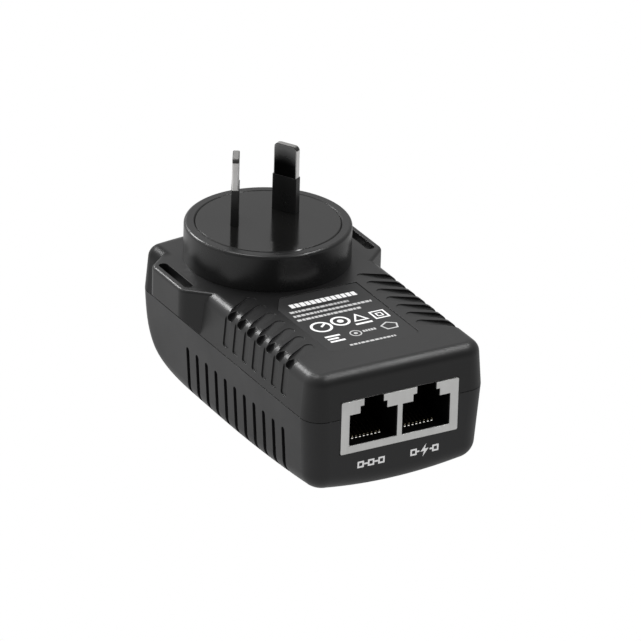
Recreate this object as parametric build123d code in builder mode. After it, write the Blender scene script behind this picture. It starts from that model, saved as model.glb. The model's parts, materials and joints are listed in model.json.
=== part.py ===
from build123d import *
import math
import os

os.makedirs("parts", exist_ok=True)

# ---------------------------------------------------------------------------
# Wall-plug power-over-ethernet injector.
# Frame: origin at the centre of the plug's outer face, +Z out along the
# blades, -Y toward the jack end, X across the case. Millimetres.
# ---------------------------------------------------------------------------

# case
half_w = 23.6          # half width at the parting plane
front_y = -64.4        # jack end
rear_y = 22.2          # rounded end
seam_z = -20.2         # parting plane between the two halves
deck_z = -9.2          # flat deck that carries the plug boss
wall = 2.0
corner_r = 5.0         # vertical corners
corner_ease = 0.4      # rear plan corners and belly edge are this much tighter
deck_r = 3.0           # rounding of the deck edge
crown_r = 120.0        # sideways crown of the belly and of the rounded end
upper_draft = 4.6      # degrees
floor_half_w = 22.1    # half width the lower sides would reach at floor_z
floor_z = -42.0
front_lean = 0.03      # how far the lower front leans in per mm of depth
fit = 0.05             # radial play of the round plug parts

# welding tongue along the seam
tongue_h = 1.15
tongue_inset = 1.06
tongue_seat_inset = 1.0
tongue_overlap = 0.15  # how far the tongue stands inside the cavity wall line

# shadow line round the seam
shadow_depth = 0.2
shadow_overrun = 1.0

# centre-plane line of the belly, (y, z), from the jack end round to the seam
belly = [
    (-76.0, -38.9), (-58.4, -40.55), (-28.0, -42.2), (-4.0, -42.0), (9.0, -40.9),
    (16.6, -37.7), (20.6, -32.2), (21.95, -26.4), (22.2, -20.2), (22.2, -12.0),
]

# dual modular jack
jack_half_w = 15.5
jack_top, jack_bottom = -16.2, -29.5
jack_mid_z = (jack_top + jack_bottom) / 2
jack_h = jack_top - jack_bottom
jack_face, jack_back = -64.35, -48.2
jack_gap = 0.1         # between the jack and the case opening
jack_cut_y = front_y + 6.0   # the case opening is cut from here outward
jack_cut_len = 8.0
jack_cut_lift = 2.0    # the lower cut runs this far above the seam

# board
board_z0, board_z1 = -16.0, -14.4
board_half_w = 20.6
board_y0, board_y1 = -61.5, 15.2
board_chamfer_front, board_chamfer_rear = 2.5, 5.5
board_gap = 0.03       # between the board and the case ribs
rib_t = 1.4
lead_end = -13.9       # where soldered leads stop, above the board
lead_r = 0.35
lead_play = 0.12       # drill radius over lead radius
drill = []             # (x, y, radius) of every lead hole, filled as pieces are made

# status lamp, shared by its light hole and the lamp itself
led_x, led_y = 0.0, -46.2
led_r = 1.5


# --- case solids -------------------------------------------------------------
def plan_outline(inset, corner):
    """Case outline at the parting plane, drawn inside by inset."""
    side = half_w - inset
    front = front_y + inset
    rear = rear_y - inset
    sag = side * side / (2 * crown_r)
    with BuildSketch() as outline:
        with BuildLine():
            Polyline((-side, rear - sag), (-side, front), (side, front), (side, rear - sag))
            ThreePointArc((side, rear - sag), (0, rear), (-side, rear - sag))
        make_face()
        fillet(outline.vertices().group_by(Axis.Y)[0], corner)
        fillet(outline.vertices().group_by(Axis.Y)[-1], corner - corner_ease)
    return outline.sketch


def shallow_half(inset, corner, bottom, top, edge=0):
    """Solid of the plug-side half between two heights."""
    with BuildPart() as half:
        with BuildSketch(Plane.XY.offset(bottom)):
            add(plan_outline(inset, corner))
        extrude(amount=top - bottom, taper=upper_draft)
        if edge:
            fillet(half.faces().sort_by(Axis.Z)[-1].edges(), edge)
    return half.part


def inset_belly(inset):
    """Belly points moved inward, square to the line through their neighbours."""
    points = []
    for i, (y, z) in enumerate(belly):
        y_before, z_before = belly[max(i - 1, 0)]
        y_after, z_after = belly[min(i + 1, len(belly) - 1)]
        span = math.hypot(y_after - y_before, z_after - z_before)
        points.append((y - inset * (z_after - z_before) / span,
                       z + inset * (y_after - y_before) / span))
    return points


def below_belly(inset):
    """Everything outside the belly, swept along it with the sideways crown."""
    reach, thick = 30, 22
    sag = reach * reach / (2 * crown_r)
    with BuildPart() as outside:
        with BuildLine(Plane.YZ) as keel:
            Spline(*inset_belly(inset), tangents=[(1, -0.07), (0, 1)])
        start = keel.line @ 0
        with BuildSketch(Plane(origin=start, x_dir=(1, 0, 0), z_dir=keel.line % 0)):
            with BuildLine():
                ThreePointArc((-reach, -sag), (0, 0), (reach, -sag))
                Polyline((reach, -sag), (reach, thick), (-reach, thick), (-reach, -sag))
            make_face()
        sweep(path=keel.line)
    return outside.part


def deep_half(inset, corner):
    """Solid of the deep half, crowned belly and rounded end included."""
    slope = (half_w - floor_half_w) / (seam_z - floor_z)
    block_rear, block_len, block_h = 24, 96, 25
    top = half_w - inset
    bottom = top - block_h * slope
    front = front_y + inset
    cut_h, cut_len = 30, 20
    outside = below_belly(inset)
    with BuildPart() as half:
        with BuildSketch(Plane.XZ.offset(-block_rear)):
            with BuildLine():
                Polyline((top, seam_z), (bottom, seam_z - block_h),
                         (-bottom, seam_z - block_h), (-top, seam_z), close=True)
            make_face()
        extrude(amount=block_len)
        # leaning front
        with BuildSketch(Plane.YZ):
            with BuildLine():
                Polyline((front, seam_z), (front + cut_h * front_lean, seam_z - cut_h),
                         (front - cut_len, seam_z - cut_h), (front - cut_len, seam_z + 1),
                         (front, seam_z + 1), close=True)
            make_face()
        extrude(amount=40, both=True, mode=Mode.SUBTRACT)
        add(outside, mode=Mode.SUBTRACT)
        upright = [e for e in half.edges().filter_by(GeomType.LINE)
                   if e.bounding_box().min.Z < seam_z - 0.5]
        fillet(upright, corner)
        below = [e for e in half.edges() if e.bounding_box().min.Z < seam_z - 0.5
                 and e.geom_type != GeomType.LINE]
        fillet(below, corner - corner_ease)
    return half.part


# --- finger wings ------------------------------------------------------------
# upright sides, underside rising outward at 45 degrees; (x, y) of the +X wing
wing_plan = [(19.0, -14.75), (27.2, -7.4), (27.2, 7.4), (19.0, 14.75)]
wing_corner = 2.8
wing_rim = 0.8
slot_x = 24.5          # stadium pocket in each wing
slot_w = 2.3
slot_y0, slot_y1 = -7.2, 7.4
slot_depth = 2.6


def make_wing():
    root = half_w - 0.05
    tip = half_w + 6
    with BuildPart() as wing:
        with BuildSketch(Plane.XY.offset(deck_z)) as plan:
            with BuildLine():
                Polyline(*wing_plan, close=True)
            make_face()
            fillet(plan.vertices().group_by(Axis.X)[-1], wing_corner)
        extrude(amount=seam_z - deck_z)
        with BuildSketch(Plane.XZ.offset(-20)):
            with BuildLine():
                Polyline((root, seam_z), (tip, seam_z + tip - root), (tip, seam_z - 1),
                         (root, seam_z - 1), close=True)
            make_face()
        extrude(amount=40, mode=Mode.SUBTRACT)
        rim = [e for e in wing.faces().sort_by(Axis.Z)[-1].edges()
               if e.bounding_box().max.X > 20]
        fillet(rim, wing_rim)
    return wing.part


# --- rating plate ------------------------------------------------------------
plate_x = 12.0
plate_y0, plate_y1 = -52.2, -21.6
plate_cut_x, plate_cut_y = 3.2, 5.2    # the corner cut off
plate_recess = 0.4
plate_t = 0.3
plate_gap = 0.12
plate_recess_corner, plate_corner = 1.5, 1.4


def plate_points(gap):
    """Plate outline with one corner cut off, drawn inside the recess by gap."""
    return [(-plate_x + gap, plate_y0 + gap), (plate_x - gap, plate_y0 + gap),
            (plate_x - gap, plate_y1 - gap),
            (-plate_x + plate_cut_x + gap / 2, plate_y1 - gap),
            (-plate_x + gap, plate_y1 - plate_cut_y - gap / 2)]


def make_label_plate():
    with BuildPart() as label_plate:
        with BuildSketch(Plane.XY.offset(deck_z - plate_recess)) as plate:
            with BuildLine():
                Polyline(*plate_points(plate_gap), close=True)
            make_face()
            fillet(plate.vertices().group_by(Axis.Y)[0], plate_corner)
        extrude(amount=plate_t)
    return label_plate.part


# --- upper shell -------------------------------------------------------------
boss_r = 20.0
spigot_r = 17.9
vent_pitch = 4.67      # shared by the deck grooves and the side vents

# raked grooves, each a deck part, a scallop at the edge and a flank part
groove_first_y = -22.9
groove_count = 7
groove_w = 2.7
groove_cut = 3.0                     # height of the cutters
groove_len = 10.4
groove_in, groove_out = 0.12, 0.95   # depth on the deck, inner end and outer end
groove_rake = 31.0                   # degrees, slant of the deck part
groove_mid_x, groove_shift = 18.3, 1.55
flank_deep = 0.25                    # down the side wall
flank_len, flank_corner = 9.0, 0.7
groove_end_z = -18.2
mouth_h, mouth_corner = 3.1, 0.5     # scallop where a groove crosses the deck edge
mouth_deep = 0.9
mouth_x, mouth_shift, mouth_drop = 21.75, -0.6, 0.95

upper_rib_x, upper_rib_w = 20.95, 1.9
upper_rib_root = 0.3                 # rib overlap into the deck


def make_upper_shell():
    wing = make_wing()
    deck_hollow = shallow_half(wall, corner_r - wall, seam_z, deck_z - wall)
    tongue_seat = shallow_half(tongue_seat_inset, corner_r - tongue_seat_inset,
                               seam_z, seam_z + tongue_h + 0.1)
    slot_y = (slot_y0 + slot_y1) / 2
    rake = math.radians(groove_rake)
    fall = (groove_out - groove_in) / groove_len
    lean = math.tan(math.radians(upper_draft))
    flank_x = half_w - lean * (groove_end_z - seam_z)
    opening_top = jack_top + jack_gap

    with BuildPart() as shell:
        add(shallow_half(0, corner_r, seam_z, deck_z, deck_r))
        # round seat that keeps the boss supported over the rounded end
        with BuildSketch(Plane.XY.offset(seam_z + shadow_depth)):
            Circle(boss_r)
        extrude(amount=deck_z - seam_z - shadow_depth)
        add(wing)
        mirror(wing, about=Plane.YZ)
        add(deck_hollow, mode=Mode.SUBTRACT)
        add(tongue_seat, mode=Mode.SUBTRACT)
        # stadium pockets in the wings
        with BuildSketch(Plane.XY.offset(deck_z)):
            with Locations((slot_x, slot_y), (-slot_x, slot_y)):
                SlotOverall(slot_y1 - slot_y0, slot_w, rotation=90)
        extrude(amount=-slot_depth, mode=Mode.SUBTRACT)
        # opening for the plug boss
        with BuildSketch(Plane.XY.offset(deck_z)):
            Circle(spigot_r + fit)
        extrude(amount=-wall - 0.5, mode=Mode.SUBTRACT)
        # recess for the rating plate
        with BuildSketch(Plane.XY.offset(deck_z)) as recess:
            with BuildLine():
                Polyline(*plate_points(0), close=True)
            make_face()
            fillet(recess.vertices().group_by(Axis.Y)[0], plate_recess_corner)
        extrude(amount=-plate_recess, mode=Mode.SUBTRACT)
        for k in range(groove_count):
            y = groove_first_y - k * vent_pitch
            for side in (-1, 1):
                # deck part, its floor falling outward
                run = Vector(side * math.cos(rake), -math.sin(rake), -fall).normalized()
                across = Vector(side * math.sin(rake), math.cos(rake), 0)
                floor = Plane(origin=(side * groove_mid_x, y + groove_shift,
                                      deck_z - (groove_in + groove_out) / 2),
                              x_dir=run, z_dir=run.cross(across) * side)
                with BuildSketch(floor):
                    SlotOverall(groove_len, groove_w)
                extrude(amount=groove_cut, mode=Mode.SUBTRACT)
                # part down the side wall
                flank = Plane(origin=(side * flank_x, y, groove_end_z), x_dir=(0, side, 0),
                              z_dir=(side, 0, lean))
                with BuildSketch(flank.offset(-flank_deep)):
                    with Locations((0, flank_len / 2)):
                        RectangleRounded(groove_w, flank_len, flank_corner)
                extrude(amount=groove_cut, mode=Mode.SUBTRACT)
                # scallop at the rounded edge
                mouth = Plane(origin=(side * mouth_x, y + mouth_shift, deck_z - mouth_drop),
                              x_dir=(0, side, 0), z_dir=(side, 0, 1))
                with BuildSketch(mouth.offset(-mouth_deep)):
                    RectangleRounded(groove_w, mouth_h, mouth_corner)
                extrude(amount=groove_cut, mode=Mode.SUBTRACT)
        # front cut-out for the jack
        with BuildSketch(Plane.XZ.offset(-jack_cut_y)):
            with Locations((0, (seam_z + opening_top) / 2)):
                Rectangle(2 * (jack_half_w + jack_gap), opening_top - seam_z)
        extrude(amount=jack_cut_len, mode=Mode.SUBTRACT)
        # ribs that the board rests against
        for y in (-57.0, -19.2, 9.0):
            for side in (-1, 1):
                with BuildSketch(Plane.XY.offset(board_z1 + board_gap)):
                    with Locations((side * upper_rib_x, y)):
                        Rectangle(upper_rib_w, rib_t)
                extrude(amount=deck_z - wall - board_z1 + upper_rib_root)
    return shell.part


# --- lower shell -------------------------------------------------------------
vent_w = 1.5
vent_first_y = -3.9
vent_count = 11
vent_top_z, vent_bottom_z = -26.6, -39.6
vent_cut_x, vent_cut = 20.2, 6.0     # where the vent cutters start, and their length
lower_rib_x, lower_rib_w = 20.42, 1.5
lower_rib_len = 18.0
light_hole_z, light_hole_cut = -46.0, 10.0


def make_lower_shell():
    belly_hollow = deep_half(wall, corner_r - wall)
    tongue_outer = shallow_half(tongue_inset, corner_r - tongue_inset,
                                seam_z, seam_z + tongue_h)
    tongue_inner = shallow_half(wall - tongue_overlap, corner_r - wall + tongue_overlap,
                                seam_z, seam_z + tongue_h + 0.2)
    opening_top = seam_z + jack_cut_lift
    opening_bottom = jack_bottom - jack_gap

    with BuildPart() as shell:
        add(deep_half(0, corner_r))
        # fine shadow line along the seam
        with BuildSketch(Plane.XY.offset(seam_z)):
            add(plan_outline(-shadow_overrun, corner_r + shadow_overrun))
            add(plan_outline(shadow_depth, corner_r - shadow_depth), mode=Mode.SUBTRACT)
        extrude(amount=-shadow_depth, mode=Mode.SUBTRACT)
        add(tongue_outer)
        add(belly_hollow, mode=Mode.SUBTRACT)
        add(tongue_inner, mode=Mode.SUBTRACT)
        # side vents
        for side in (-1, 1):
            with BuildSketch(Plane.YZ.offset(side * vent_cut_x)):
                for k in range(vent_count):
                    with Locations((vent_first_y - k * vent_pitch,
                                    (vent_top_z + vent_bottom_z) / 2)):
                        SlotOverall(vent_top_z - vent_bottom_z, vent_w, rotation=90)
            extrude(amount=side * vent_cut, mode=Mode.SUBTRACT)
        # front cut-out for the jack, through the tongue as well
        with BuildSketch(Plane.XZ.offset(-jack_cut_y)):
            with Locations((0, (opening_top + opening_bottom) / 2)):
                Rectangle(2 * (jack_half_w + jack_gap), opening_top - opening_bottom)
        extrude(amount=jack_cut_len, mode=Mode.SUBTRACT)
        # ribs up the side walls that press the board home
        for y in (-57.0, 4.0):
            for side in (-1, 1):
                with BuildSketch(Plane.XY.offset(board_z0 - board_gap)):
                    with Locations((side * lower_rib_x, y)):
                        Rectangle(lower_rib_w, rib_t)
                extrude(amount=-lower_rib_len)
        # light-pipe hole for the status lamp
        with BuildSketch(Plane.XY.offset(light_hole_z)):
            with Locations((led_x, led_y)):
                Circle(led_r + fit)
        extrude(amount=light_hole_cut, mode=Mode.SUBTRACT)
    return shell.part


# --- plug boss ---------------------------------------------------------------
boss_edge = 0.8
boss_base = deck_z + 0.01
spigot_len = 3.4
carrier_r = 17.4
carrier_t = 3.2
carrier_edge = 0.25    # chamfer on the carrier and on its seat
ledge_r = 15.4
tab_t, tab_w, tab_h = 1.3, 5.0, 1.1


def make_plug_housing():
    with BuildPart() as housing:
        with BuildSketch(Plane.XY.offset(boss_base)):
            Circle(boss_r)
        extrude(amount=-boss_base)
        fillet(housing.faces().sort_by(Axis.Z)[-1].edges(), boss_edge)
        with BuildSketch(Plane.XY.offset(boss_base)):
            Circle(spigot_r)
        extrude(amount=-spigot_len)
        # seat of the pin carrier, and the bore below its ledge
        with BuildSketch(Plane.XY):
            Circle(carrier_r + fit)
        extrude(amount=-carrier_t - 0.02, mode=Mode.SUBTRACT)
        with BuildSketch(Plane.XY):
            Circle(ledge_r)
        extrude(amount=-14, mode=Mode.SUBTRACT)
        lip = [e for e in housing.edges().filter_by(GeomType.CIRCLE)
               if abs(e.radius - carrier_r - fit) < 1e-3 and e.center().Z > -0.1]
        chamfer(lip, carrier_edge)
        # four snap tabs under the deck
        with BuildSketch(Plane.XY.offset(deck_z - wall - 0.05)):
            with PolarLocations(spigot_r, 4, start_angle=45):
                Rectangle(tab_t, tab_w)
        extrude(amount=-tab_h)
    return housing.part


# --- blades, flat pins of the two-pin 10 A wall plug --------------------------
blade_w, blade_t = 6.35, 1.63
blade_x, blade_y = 6.85, 3.955
blade_turn = math.radians(60)
blade_len = 17.06
tip_corner, tip_edge = 1.25, 0.3
sleeve_len = 9.0
sleeve_w, sleeve_t = 6.6, 1.9
sleeve_corner = 0.15
sleeve_foot = 0.4      # sleeve below the carrier
neck_w, neck_t = 5.2, 0.9
neck_foot = 0.8        # neck below the carrier
neck_overlap = 0.1     # neck into the bare tip
moulding_gap = 0.02
overrun = 1.0          # cutters run this far past the faces
tail_z = -8.0

blade_seats = [
    Plane(origin=(side * blade_x, blade_y, 0),
          x_dir=(-side * math.cos(blade_turn), math.sin(blade_turn), 0), z_dir=(0, 0, 1))
    for side in (-1, 1)
]
active_seat, neutral_seat = blade_seats


def make_pin_carrier():
    with BuildPart() as carrier:
        with BuildSketch(Plane.XY):
            Circle(carrier_r)
        extrude(amount=-carrier_t)
        chamfer(carrier.edges().sort_by(Axis.Z)[-1], carrier_edge)
        for seat in blade_seats:
            with BuildSketch(seat.offset(overrun)):
                Rectangle(sleeve_w + 2 * moulding_gap, sleeve_t + 2 * moulding_gap)
            extrude(amount=-carrier_t - 2 * overrun, mode=Mode.SUBTRACT)
    return carrier.part


def make_blade(seat):
    """Flat blade: bare tip, necked part inside the sleeve, headed tail."""
    tip_base = sleeve_len + moulding_gap
    with BuildPart() as blade:
        with BuildSketch(seat.offset(tip_base)):
            Rectangle(blade_w, blade_t)
        extrude(amount=blade_len - tip_base)
        # rounded tip: full corners on the narrow edges, eased broad edges
        top = blade.faces().sort_by(Axis.Z)[-1]
        narrow = [e for e in top.edges() if e.length < 2.5]
        fillet(narrow, tip_corner)
        outline = [e for e in blade.edges() if e.bounding_box().max.Z > sleeve_len + 1
                   and e.length > 1.8]
        fillet(outline, tip_edge)
        with BuildSketch(seat.offset(-carrier_t - neck_foot)):
            Rectangle(neck_w, neck_t)
        extrude(amount=carrier_t + neck_foot + sleeve_len + neck_overlap)
        with BuildSketch(seat.offset(tail_z)):
            Rectangle(blade_w, blade_t)
        extrude(amount=-tail_z - carrier_t - sleeve_foot - moulding_gap)
    return blade.part


def make_sleeve(seat):
    """Insulating sleeve moulded round the foot of a blade."""
    with BuildPart() as sleeve:
        with BuildSketch(seat.offset(-carrier_t - sleeve_foot)):
            Rectangle(sleeve_w, sleeve_t)
        extrude(amount=carrier_t + sleeve_foot + sleeve_len)
        upright = [e for e in sleeve.edges()
                   if e.bounding_box().max.Z - e.bounding_box().min.Z > 5]
        fillet(upright, sleeve_corner)
        with BuildSketch(seat.offset(-carrier_t - overrun)):
            Rectangle(neck_w + 2 * moulding_gap, neck_t + 2 * moulding_gap)
        extrude(amount=carrier_t + sleeve_len + 2 * overrun, mode=Mode.SUBTRACT)
    return sleeve.part


# --- mains wires -------------------------------------------------------------
wire_r = 0.6
wire_hole_r = 0.78
wire_top = tail_z - 0.03
wire_straight = board_z1 + 0.3   # straight from here down through the board
wire_end = board_z0 - 0.5


def make_wire(blade_end_x, board_x, board_y):
    """Insulated lead from a blade tail down into the board."""
    with BuildPart() as wire:
        with BuildLine() as run:
            Spline((blade_end_x, blade_y, wire_top), (board_x, board_y, wire_straight),
                   tangents=[(0, 0, -1), (0, 0, -1)], tangent_scalars=[1.1, 1.1])
            Line((board_x, board_y, wire_straight), (board_x, board_y, wire_end))
        with BuildSketch(Plane(origin=(blade_end_x, blade_y, wire_top), z_dir=(0, 0, -1))):
            Circle(wire_r)
        sweep(path=run.wires()[0])
    drill.append((board_x, board_y, wire_hole_r))
    return wire.part


# --- jack --------------------------------------------------------------------
sheet = 0.25
shield_corner = 0.4
port_pitch = 13.97
window_half = 6.35     # stepped window of each port, widest part first
cavity_half = 6.15     # the same part in the housing
window_z0, window_z1 = -27.65, -19.7
step_half, step_z = 3.55, -17.95
latch_half = 2.6
slit_ys = (-59.2, -57.6)         # upright slits that free a finger in each side
slit_w, slit_h = 0.3, 5.0
leg_ys = (-57.0, -51.5)
leg_w, leg_root, leg_hole_r = 1.4, 0.5, 0.85
tail_gap_y, tail_gap_w, tail_gap_len = -49.55, 29.0, 1.6

housing_gap = 0.05
housing_face = jack_face + sheet + housing_gap
housing_back = -50.1
cavity_depth = 12.4

contact_pitch = 1.02
contact_count = 8
contact_w, contact_t = 0.42, 0.3
contact_hole_r = 0.32
channel_w = contact_w + 0.14
channel_h = 1.35
riser_slot_len, riser_slot_h = 0.6, 2.2
bend_y, bend_z = -60.8, -27.3
bend_r = 0.26
riser_top = bend_z - 0.29
floor_run_z = -28.75   # underside of the floor run
tail_y = -49.45        # middle of the tail that goes up through the board
spring_len = 8.4
spring_angle = math.radians(18.0)
hook_len, hook_drop = 0.6, 0.15

port_xs = [-port_pitch / 2, port_pitch / 2]
contact_rows = [
    [x + (i - (contact_count - 1) / 2) * contact_pitch for i in range(contact_count)]
    for x in port_xs
]
lan_row, poe_row = contact_rows


def port_openings(half_window, half_step, half_latch):
    """(x, z, width, height) of the window, step and latch notch of both ports."""
    openings = []
    for x in port_xs:
        openings += [
            (x, (window_z0 + window_z1) / 2, 2 * half_window, window_z1 - window_z0),
            (x, (window_z1 + step_z) / 2, 2 * half_step, step_z - window_z1 + 0.1),
            (x, (step_z + jack_top) / 2 + 0.2, 2 * half_latch, jack_top - step_z + 0.5),
        ]
    return openings


def make_port_shield():
    with BuildPart() as shield:
        with BuildSketch(Plane.XZ.offset(-jack_face)):
            with Locations((0, jack_mid_z)):
                Rectangle(2 * jack_half_w, jack_h)
        extrude(amount=jack_face - jack_back)
        fillet(shield.edges().filter_by(Axis.Y), shield_corner)
        with BuildSketch(Plane.XZ.offset(-jack_face - sheet)):
            with Locations((0, jack_mid_z)):
                Rectangle(2 * (jack_half_w - sheet), jack_h - 2 * sheet)
        extrude(amount=jack_face - jack_back + 2 * sheet, mode=Mode.SUBTRACT)
        # stepped windows in the face, latch notches open to the upper edge
        with BuildSketch(Plane.XZ.offset(-jack_face + overrun)):
            for x, z, width, height in port_openings(window_half, step_half, latch_half):
                with Locations((x, z)):
                    Rectangle(width, height)
        extrude(amount=-overrun - sheet - 0.6, mode=Mode.SUBTRACT)
        # board side is open behind the latches for the contact tails
        with BuildSketch(Plane.XY.offset(jack_top - 1)):
            with Locations((0, tail_gap_y)):
                Rectangle(tail_gap_w, tail_gap_len)
        extrude(amount=3, mode=Mode.SUBTRACT)
        # slits in the two sides
        with BuildSketch(Plane.YZ):
            for y in slit_ys:
                with Locations((y, jack_mid_z)):
                    Rectangle(slit_w, slit_h)
        extrude(amount=20, both=True, mode=Mode.SUBTRACT)
        # solder legs
        for x in (-jack_half_w + sheet / 2, jack_half_w - sheet / 2):
            for y in leg_ys:
                with BuildSketch(Plane.XY.offset(jack_top - leg_root)):
                    with Locations((x, y)):
                        Rectangle(sheet, leg_w)
                extrude(amount=lead_end - jack_top + leg_root)
                drill.append((x, y, leg_hole_r))
    return shield.part


def make_port_housing():
    channel_front = bend_y - riser_slot_len / 2
    with BuildPart() as housing:
        with BuildSketch(Plane.XZ.offset(-housing_face)):
            with Locations((0, jack_mid_z)):
                Rectangle(2 * (jack_half_w - sheet - housing_gap),
                          jack_h - 2 * (sheet + housing_gap))
        extrude(amount=housing_face - housing_back)
        with BuildSketch(Plane.XZ.offset(-housing_face + overrun)):
            for x, z, width, height in port_openings(cavity_half, step_half - 0.1,
                                                     latch_half - 0.05):
                with Locations((x, z)):
                    Rectangle(width, height)
        extrude(amount=-overrun - cavity_depth, mode=Mode.SUBTRACT)
        # channels under the floor and the slots the wires come up through
        for row in contact_rows:
            for x in row:
                with BuildSketch(Plane.XY.offset(jack_bottom)):
                    with Locations((x, (channel_front + housing_back) / 2)):
                        Rectangle(channel_w, housing_back - channel_front)
                extrude(amount=channel_h, mode=Mode.SUBTRACT)
                with BuildSketch(Plane.XY.offset(jack_bottom)):
                    with Locations((x, bend_y)):
                        Rectangle(channel_w, riser_slot_len)
                extrude(amount=riser_slot_h, mode=Mode.SUBTRACT)
    return housing.part


def make_tails(row):
    """Fixed halves of one port's contact wires, floor run and riser."""
    half_t = contact_t / 2
    with BuildPart() as tails:
        for x in row:
            with BuildSketch(Plane.YZ.offset(x - contact_w / 2)):
                with BuildLine():
                    Polyline((bend_y - half_t, riser_top), (bend_y - half_t, floor_run_z),
                             (tail_y + half_t, floor_run_z), (tail_y + half_t, lead_end),
                             (tail_y - half_t, lead_end),
                             (tail_y - half_t, floor_run_z + contact_t),
                             (bend_y + half_t, floor_run_z + contact_t),
                             (bend_y + half_t, riser_top), close=True)
                make_face()
            extrude(amount=contact_w)
            drill.append((x, tail_y, contact_hole_r))
    return tails.part


def make_springs(row):
    """Sprung halves: a round bend at the front and a beam rising backward."""
    cosine, sine = math.cos(spring_angle), math.sin(spring_angle)
    # half thickness resolved along y and z
    half_y, half_z = contact_t / 2 * sine, contact_t / 2 * cosine
    end_y, end_z = bend_y + spring_len * cosine, bend_z + spring_len * sine
    hook_y = bend_y + (spring_len + hook_len) * cosine
    hook_z = end_z - hook_drop
    with BuildPart() as springs:
        for x in row:
            with BuildSketch(Plane.YZ.offset(x - contact_w / 2)):
                with Locations((bend_y, bend_z)):
                    Circle(bend_r)
                with BuildLine():
                    Polyline((bend_y - half_y, bend_z + half_z),
                             (end_y - half_y, end_z + half_z),
                             (hook_y, hook_z + half_z), (hook_y, hook_z - half_z),
                             (end_y + half_y, end_z - half_z),
                             (bend_y + half_y, bend_z - half_z), close=True)
                make_face()
            extrude(amount=contact_w)
    return springs.part


# --- components on the board, hanging toward the belly -------------------------
seat_z = board_z0 - 0.3          # components stand this far off the board
lead_root = seat_z - 1.0         # leads start inside the bodies
fine_lead_r = 0.28


def lead_dots(points, radius=lead_r):
    """Round lead sections at the height where the leads stop; also drills the board."""
    with BuildSketch(Plane.XY.offset(lead_end)) as dots:
        with Locations(*points):
            Circle(radius)
    for x, y in points:
        drill.append((x, y, radius + lead_play))
    return dots.sketch


def dip_leads(x, y, pitch, count):
    """Two rows of leads, count in each, about a package centre."""
    row_x = 2.6
    return [(x + side * row_x, y + (i - (count - 1) / 2) * pitch)
            for side in (-1, 1) for i in range(count)]


def make_fuse():
    x, y, z = -17.0, 3.0, -18.6
    tube_r, tube_len = 1.75, 10.0
    cap_r, cap_len = 1.95, 2.4
    lead_reach = 6.3             # from the middle to each bent lead
    wire_half = lead_reach + 0.3
    with BuildPart() as fuse:
        with BuildSketch(Plane.XZ.offset(tube_len / 2 - y)):
            with Locations((x, z)):
                Circle(tube_r)
        extrude(amount=-tube_len)
        for cap_y in (y - tube_len / 2, y + tube_len / 2 - cap_len):
            with BuildSketch(Plane.XZ.offset(-cap_y)):
                with Locations((x, z)):
                    Circle(cap_r)
            extrude(amount=-cap_len)
        with BuildSketch(Plane.XZ.offset(wire_half - y)):
            with Locations((x, z)):
                Circle(lead_r)
        extrude(amount=-2 * wire_half)
        extrude(lead_dots([(x, y - lead_reach), (x, y + lead_reach)]),
                amount=z - 0.3 - lead_end)
    return fuse.part


def make_disc(x, y, z, radius, lead_pitch, lead_top):
    """Upright disc facing along Y, with two leads that start at lead_top."""
    thick, edge = 3.6, 1.2
    with BuildPart() as disc:
        with BuildSketch(Plane.XZ.offset(-y - thick / 2)):
            with Locations((x, z)):
                Circle(radius)
        extrude(amount=thick)
        fillet(disc.edges().filter_by(GeomType.CIRCLE), edge)
        extrude(lead_dots([(x - lead_pitch / 2, y), (x + lead_pitch / 2, y)]),
                amount=lead_top - lead_end)
    return disc.part


def make_x_capacitor():
    x, y = 5.0, 11.0
    length, width, height = 13.0, 6.0, 11.0
    lead_pitch = 10.0
    with BuildPart() as capacitor:
        with BuildSketch(Plane.XY.offset(seat_z)):
            with Locations((x, y)):
                Rectangle(length, width)
        extrude(amount=-height)
        fillet(capacitor.edges().filter_by(Axis.Z), 0.5)
        extrude(lead_dots([(x - lead_pitch / 2, y), (x + lead_pitch / 2, y)]),
                amount=lead_root - lead_end)
    return capacitor.part


# common-mode choke: square frame core with a winding on each upright limb
choke_x, choke_y, choke_z = 12.3, 0.5, -23.6
choke_size, choke_t = 13.0, 4.0
choke_window_w, choke_window_h = 6.2, 7.4


def make_choke_core():
    with BuildPart() as core:
        with BuildSketch(Plane.XZ.offset(-choke_y - choke_t / 2)):
            with Locations((choke_x, choke_z)):
                Rectangle(choke_size, choke_size)
                Rectangle(choke_window_w, choke_window_h, mode=Mode.SUBTRACT)
        extrude(amount=choke_t)
    return core.part


def make_choke_winding():
    limb = (choke_size + choke_window_w) / 4
    coil_w, coil_d, coil_h = 5.6, 6.6, 6.8
    pin_x, pin_y, pin_top = 6.6, 2.7, -21.5
    with BuildPart() as winding:
        for x in (choke_x - limb, choke_x + limb):
            with BuildSketch(Plane.XY.offset(choke_z + coil_h / 2)):
                with Locations((x, choke_y)):
                    RectangleRounded(coil_w, coil_d, 1.2)
                    Rectangle(3.5, choke_t + 0.1, mode=Mode.SUBTRACT)
            extrude(amount=-coil_h)
        pins = [(choke_x + i * pin_x, choke_y + j * pin_y) for i in (-1, 1) for j in (-1, 1)]
        extrude(lead_dots(pins, 0.3), amount=pin_top - lead_end)
    return winding.part


def make_bridge_rectifier():
    x, y = -14.0, -12.0
    with BuildPart() as bridge:
        with BuildSketch(Plane.XY.offset(seat_z)):
            with Locations((x, y)):
                Rectangle(8.4, 6.4)
        extrude(amount=-3.3)
        chamfer(bridge.edges().filter_by(Axis.Z).sort_by(Axis.X)[0], 1.0)
        extrude(lead_dots(dip_leads(x, y, pitch=4.4, count=2)), amount=lead_root - lead_end)
    return bridge.part


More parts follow.
